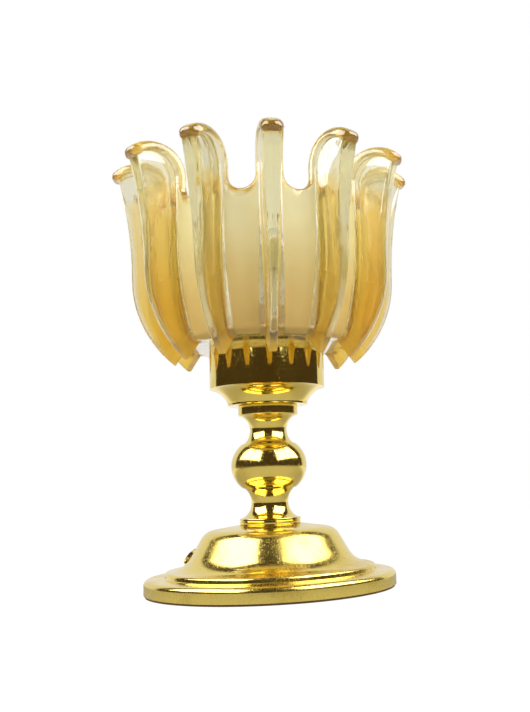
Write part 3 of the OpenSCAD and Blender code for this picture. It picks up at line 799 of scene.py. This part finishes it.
def outerLow(i, j):
    # columns run from the bay's middle to the middle of the fin's edge
    f = crowded(j, layout["outerCrowd"])
    ledge = mixed(glass["finLedge"], underHalf, eased(layout["ledgeFrom"], 1.0, f))
    if i < bayCols:
        q = bayCols - i
        turn = math.radians(90 * q / bayCols)
        top = lengthOf(outerPath) - bayReach(outer, glass["underRound"]) * math.sin(turn)
        r, z = along(outerPath, f * top)
        plain = mixed(angleOf(r, ledge), sector, q / bayCols)
        swing = eased(layout["bayFrom"], 1.0, f)
        return placed(r, z, mixed(plain, topAngle(q, r, glass["underRound"]), swing))
    k = underEnd + i - bayCols
    wallOut = along(outerPath, f * lengthOf(outerPath))
    finEdge = along(edgePath, f * lengthOf(edgePath))
    wallIn = behindPoint(wallOut, finEdge, glass["wall"])
    r, z, t = sectionPoint(k, wallIn, wallOut, finEdge, rooted)
    if k == underEnd:
        t = ledge
    elif k == underEnd + 1:
        t = mixed(t, ledge, layout["ledgeFollow"])
    return placed(r, z, angleOf(r, t))


def ringAbove(i, j):
    wallIn, wallOut, finEdge, squeeze = stations[j]
    r, z, t = sectionPoint(i, wallIn, wallOut, finEdge, squeeze)
    if i == underEnd + 1 and squeeze["width"] == 1.0:
        t = mixed(t, underHalf, layout["ledgeFollow"])
    return placed(r, z, angleOf(r, t))


def bayRound(i, j):
    # i goes round the bay's bottom, j across the wall's thickness
    r, z, t = sectionPoint(stripEnd + j, (inner, bayZ), (outer, bayZ), edgePath[-1], rooted)
    turn = math.radians(90 * i / bayCols)
    reach = bayReach(r, glass["petal"] - t)
    return placed(r, bayZ - reach * math.sin(turn), sector - math.asin(reach * math.cos(turn) / r))


def undersideAngle(k):
    # the columns of the underside: the end of the fin, then the wall between the fins
    if k <= 2:
        low = outerLow(finStart, 0)
        return math.atan2(low.y, low.x) * k / 2
    low = outerLow(bayCols + stripCols - k, 0)
    return math.atan2(low.y, low.x)


def innerLow(i, j):
    f = crowded(j, layout["innerCrowd"])
    if i <= stripCols:
        r, z = along(innerPath, f * lengthOf(innerPath))
        top = angleOf(r, (glass["petal"] - glass["innerRound"]) * i / stripCols)
    else:
        q = i - stripCols
        turn = math.radians(90 * q / bayCols)
        rise = lengthOf(innerPath) - bayReach(inner, glass["innerRound"]) * math.sin(turn)
        r, z = along(innerPath, f * rise)
        top = topAngle(q, r, glass["innerRound"])
    return placed(r, z, mixed(undersideAngle(i), top, eased(layout["innerFrom"], 1.0, f)))


def floorRing(i, j):
    return placed(*floorPath[j], undersideAngle(i))


def finEnd(i, j):
    # the flat end of the fin under the bowl, i from the middle to the side
    side = outerLow(finStart + j, 0)
    return placed(math.hypot(side.x, side.y) / mm, side.z / mm, math.atan2(side.y, side.x) * i / 2)


# how etched the glass is and how strongly coloured its rims are, from 0 to 1: the rim colour is painted
# shade, and the fins' lowest part is painted light

etchAndPaintedEdges = {
    "lowFinLight": 0.8, "lowFinLightFrom": 0.3, "lowFinLightTo": 0.04, "finEnd": 0.6, "etchedRow": 3,
    "side": 0.5, "flank": 0.85, "root": 0.15, "fade": 0.4, "fadeFrom": 0.3, "tipFrom": 0.78,
}


def nothing(i, j):
    return 0.0


def full(i, j):
    return 1.0


# the fin's flat end under the bowl, painted satin and amber as painted light
def paintedFinEndLight(i, j):
    return etchAndPaintedEdges["finEnd"]


def paintedLowFinLight(j):
    # the lowest part of a fin, painted satin and amber as painted light for the glow inside its end
    return etchAndPaintedEdges["lowFinLight"] * eased(etchAndPaintedEdges["lowFinLightFrom"], etchAndPaintedEdges["lowFinLightTo"], j / lowRows)


def etchedOuter(i, j):
    # the bowl's outside between the fins, but for its bottom edge, and the fins' lowest part as painted
    # light
    if i <= bayCols:
        return 1.0 if j >= etchAndPaintedEdges["etchedRow"] else 0.0
    return paintedLowFinLight(j)


def rimAbove(i, j):
    # painted shade along the sides of the petals, and strongest over their tips
    tip = eased(riseRows + etchAndPaintedEdges["tipFrom"] * curlRows, riseRows + curlRows + 2, j)
    side = etchAndPaintedEdges["side"] if stripEnd < i <= underEnd else 0.0
    return min(1.0, side + tip)


def rimBelow(i, j):
    # painted shade along the fin's flanks, deepest at their root, less towards the top, and painted light
    # at their lowest part
    if i <= finStart:
        return 0.0
    root = etchAndPaintedEdges["root"] if i <= finStart + cols["root"] else 0.0
    flank = etchAndPaintedEdges["flank"] + root - etchAndPaintedEdges["fade"] * eased(etchAndPaintedEdges["fadeFrom"], 1.0, j / lowRows)
    return max(paintedLowFinLight(j), flank if i < flankStop else 0.0)


def patch(name, columns, rows, place, etched, rim):
    # a grid whose vertices are carried to their places on the glass, with how etched and coloured each is
    deselectAll()
    bpy.ops.mesh.primitive_grid_add(x_subdivisions=columns, y_subdivisions=rows, size=2)
    obj = bpy.context.object
    obj.name = name
    mesh = obj.data
    etchedValues = mesh.attributes.new("etched", "FLOAT", "POINT")
    rimValues = mesh.attributes.new("rim", "FLOAT", "POINT")
    for v in mesh.vertices:
        i = round((v.co.x + 1) / 2 * columns)
        j = round((v.co.y + 1) / 2 * rows)
        v.co = place(i, j)
        etchedValues.data[v.index].value = etched(i, j)
        rimValues.data[v.index].value = rim(i, j)
    return obj


def openEdges(mesh):
    # how many edges don't have a face on each side
    count = {}
    for polygon in mesh.polygons:
        for key in polygon.edge_keys:
            count[key] = count.get(key, 0) + 1
    return sum(1 for n in count.values() if n != 2)


half = joined([
    patch("outerLow", bayCols + finCols, lowRows, outerLow, etchedOuter, rimBelow),
    patch("ringAbove", ringSteps, len(stations) - 1, ringAbove, nothing, rimAbove),
    # round the bays' bottoms the rim colour is full: painted shade
    patch("bayRound", bayCols, underEnd - stripEnd, bayRound, nothing, full),
    patch("innerLow", stripCols + bayCols, lowRows, innerLow, nothing, nothing),
    patch("floorRing", stripCols + bayCols, len(floorPath) - 1, floorRing, nothing, nothing),
    patch("finEnd", 2, finCols - cols["ledge"] - cols["edge"], finEnd, paintedFinEndLight, paintedFinEndLight),
])
bpy.ops.object.duplicate()
mirrored = bpy.context.object
for v in mirrored.data.vertices:
    v.co.y = -v.co.y
mirrored.data.flip_normals()
joined([half, mirrored])
turnSelected(math.radians(glass["turn"] - 90))
copies = [half]
for i in range(1, glass["count"]):
    selectOnly(half)
    bpy.ops.object.duplicate()
    copies.append(bpy.context.object)
    turnSelected(2 * math.pi * i / glass["count"])
glassShade = finishMesh(joined(copies), "glassShade", 42)
settle(glassShade, "shade", "amber_glass", amberGlass, "glass_shade")
print("glass pressed:", len(glassShade.data.polygons), "faces, open edges:", openEdges(glassShade.data))


# the bulb

bulb = {
    "neck": 6.6, "neckRise": 1.0, "neckDeg": 2.0, "globe": 22.5, "glass": 0.8,
    "capTurns": 5, "capRadius": 7.0, "capDepth": 0.45, "threadEnd": 2.0, "collar": 1.6,
}
capLow, capTop = heights("bulb_cap")
globeFoot, globeTop = heights("bulb_globe")


def globeOutline(depth):
    # from the neck's foot to the crown, this deep under the surface
    neck = bulb["neck"] - depth
    start = bulb["neckDeg"] - math.degrees(math.acos(bulb["neck"] / bulb["globe"]))
    return ([(neck, globeFoot), (neck, capTop + bulb["neckRise"])]
            + arc((0, globeTop - bulb["globe"]), bulb["globe"] - depth, start, 90, 40))


def threadOutline():
    # the rolled thread as rings, and the plain collar above it
    steps = 12 * bulb["capTurns"]
    radius = bulb["capRadius"]
    points = []
    for i in range(steps + 1):
        swing = 0.5 - 0.5 * math.cos(2 * math.pi * bulb["capTurns"] * i / steps)
        z = mixed(capLow, capTop - bulb["threadEnd"], i / steps)
        points.append((radius - bulb["capDepth"] * swing, z))
    return points + [(radius, capTop - bulb["collar"]), (radius, capTop)]


globe = turnOnLathe("bulbGlobe", globeOutline(0.0) + globeOutline(bulb["glass"])[::-1], 96)
settle(globe, "bulb", "opal_glass", clearBulb, "bulb_globe")
capOutline = threadOutline() + [(bulb["neck"], capTop), (bulb["neck"], capLow)]
settle(turnOnLathe("bulbCap", capOutline, 64), "bulb", "bulb_metal", bulbMetal, "bulb_cap")
print("bulb blown")


# finishes of the pieces that stay as built

plainFinishes = {
    "foot_pad": felt, "foot_weight": iron, "cord_bushing": turnedBrass, "bushing_nut": steel,
    "threaded_tube": steel, "bottom_washer": steel, "bottom_nut": steel,
    "cup_washer": steel, "cup_nut": steel, "lampholder_cap": agedBrass, "lampholder_skirt": agedBrass,
    "lampholder_insulator": porcelain, "screw_shell": agedBrass, "centre_contact": agedBrass,
    "side_contact": agedBrass, "terminal_screws": steel, "shade_ring": agedBrass,
    "bulb_insulator": black, "bulb_contact": bulbMetal, "bulb_stem": clearBulb, "filament": wire,
}
for node, material in plainFinishes.items():
    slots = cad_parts[node].data.materials
    slots.clear()
    slots.append(material)
print("finishes laid on")


# the table, the room and the lights

room = {
    "floor": 3.0, "cloth": (0.40, 0.39, 0.36), "shadow": 0.14, "glow": 1.12,
    "dark": (0.062, 0.044, 0.026), "backdrop": 0.85, "tableBack": (0.10, 0.40), "roomBack": (0.50, 0.56),
    "lampPower": 54.0, "lampSide": 66.0, "lampSpread": 38.0,
    "lampAway": 1.1, "lampMiddle": 0.12, "lampLow": 20.0, "lampHigh": 66.0,
}


def rayKind(tree, kind):
    return addNode(tree, "ShaderNodeLightPath", output=kind)


def seen(tree):
    # 1 for what the camera sees, straight or through the glass
    return rayKind(tree, "Is Camera Ray").larger(rayKind(tree, "Is Transmission Ray"))


def whiteStage(name):
    # white to the camera but for a soft shadow, and white in the brass and glass that mirror its far part
    material, tree, shader = newMaterial(name, **{"Base Color": (*room["cloth"], 1), "Roughness": 0.9,
                                                  "Specular IOR Level": 0.1})
    glow = addNode(tree, "ShaderNodeEmission", None, {"Strength": room["glow"]})
    behind = partOf(tree, objectPlace(tree), "Y").clamped(*room["tableBack"])
    reflected = rayKind(tree, "Is Glossy Ray") * behind * room["backdrop"]
    share = (seen(tree) * (1 - room["shadow"])).larger(reflected)
    whole = layered(tree, share, Wire(tree, shader.outputs[0]), glow)
    feed(tree, tree.nodes["Material Output"], "Surface", whole)
    return material


def lightRoom(world):
    # white behind the lamp, a dim room around it, and white all over to the camera
    world.use_nodes = True
    tree = world.node_tree
    tree.nodes.clear()
    direction = addNode(tree, "ShaderNodeTexCoord", output="Generated")
    behind = partOf(tree, direction, "Y").clamped(*room["roomBack"])
    dim, bright, white = (
        addNode(tree, "ShaderNodeBackground", None, {"Color": (*colour, 1), "Strength": strength})
        for colour, strength in ((room["dark"], 1.0), ((1, 1, 1), room["backdrop"]), ((1, 1, 1), 1.0)))
    whole = layered(tree, seen(tree), layered(tree, behind, dim, bright), white)
    feed(tree, tree.nodes.new("ShaderNodeOutputWorld"), "Surface", whole)


def softbox(name, sideDeg):
    # an upright window of light beside the camera, which doesn't show through the glass
    deselectAll()
    side = math.radians(sideDeg)
    away = room["lampAway"]
    low, high = (room["lampMiddle"] + away * math.tan(math.radians(room[key]))
                 for key in ("lampLow", "lampHigh"))
    place = (away * math.sin(side), -away * math.cos(side), (low + high) / 2)
    bpy.ops.object.light_add(type="AREA", location=place)
    light = bpy.context.object
    light.name = name
    light.data.shape = "RECTANGLE"
    light.data.size = 2 * away * math.tan(math.radians(room["lampSpread"]))
    light.data.size_y = high - low
    light.data.energy = room["lampPower"]
    light.visible_transmission = False
    inwards = Vector((-math.sin(side), math.cos(side), 0))
    light.rotation_euler = inwards.to_track_quat("-Z", "Y").to_euler()


deselectAll()
bpy.ops.mesh.primitive_plane_add(size=room["floor"], location=(0, 0, 0))
floor = bpy.context.object
floor.name = "floor"
floor.data.materials.append(whiteStage("whiteTable"))
bpy.context.scene.world = bpy.context.scene.world or bpy.data.worlds.new("room")
lightRoom(bpy.context.scene.world)
softbox("leftBox", -room["lampSide"])
softbox("rightBox", room["lampSide"])


# the camera, at the height and turn from which the lamp was photographed

view = {
    "place": (6.1, -561.6, 63.6), "tiltDeg": 97.91, "rollDeg": 2.15, "turnDeg": -5.42,
    "lens": 45.16, "sensor": 36.0, "shiftX": -0.1404,
}
bpy.ops.object.camera_add(location=Vector(view["place"]) * mm)
camera = bpy.context.object
camera.rotation_euler = Euler([math.radians(view[key]) for key in ("tiltDeg", "rollDeg", "turnDeg")])
camera.data.sensor_fit = "VERTICAL"
camera.data.sensor_height = view["sensor"]
camera.data.lens = view["lens"]
camera.data.shift_x = view["shiftX"]
bpy.context.scene.camera = camera
bpy.context.scene.view_settings.view_transform = "Standard"
print("stage set")
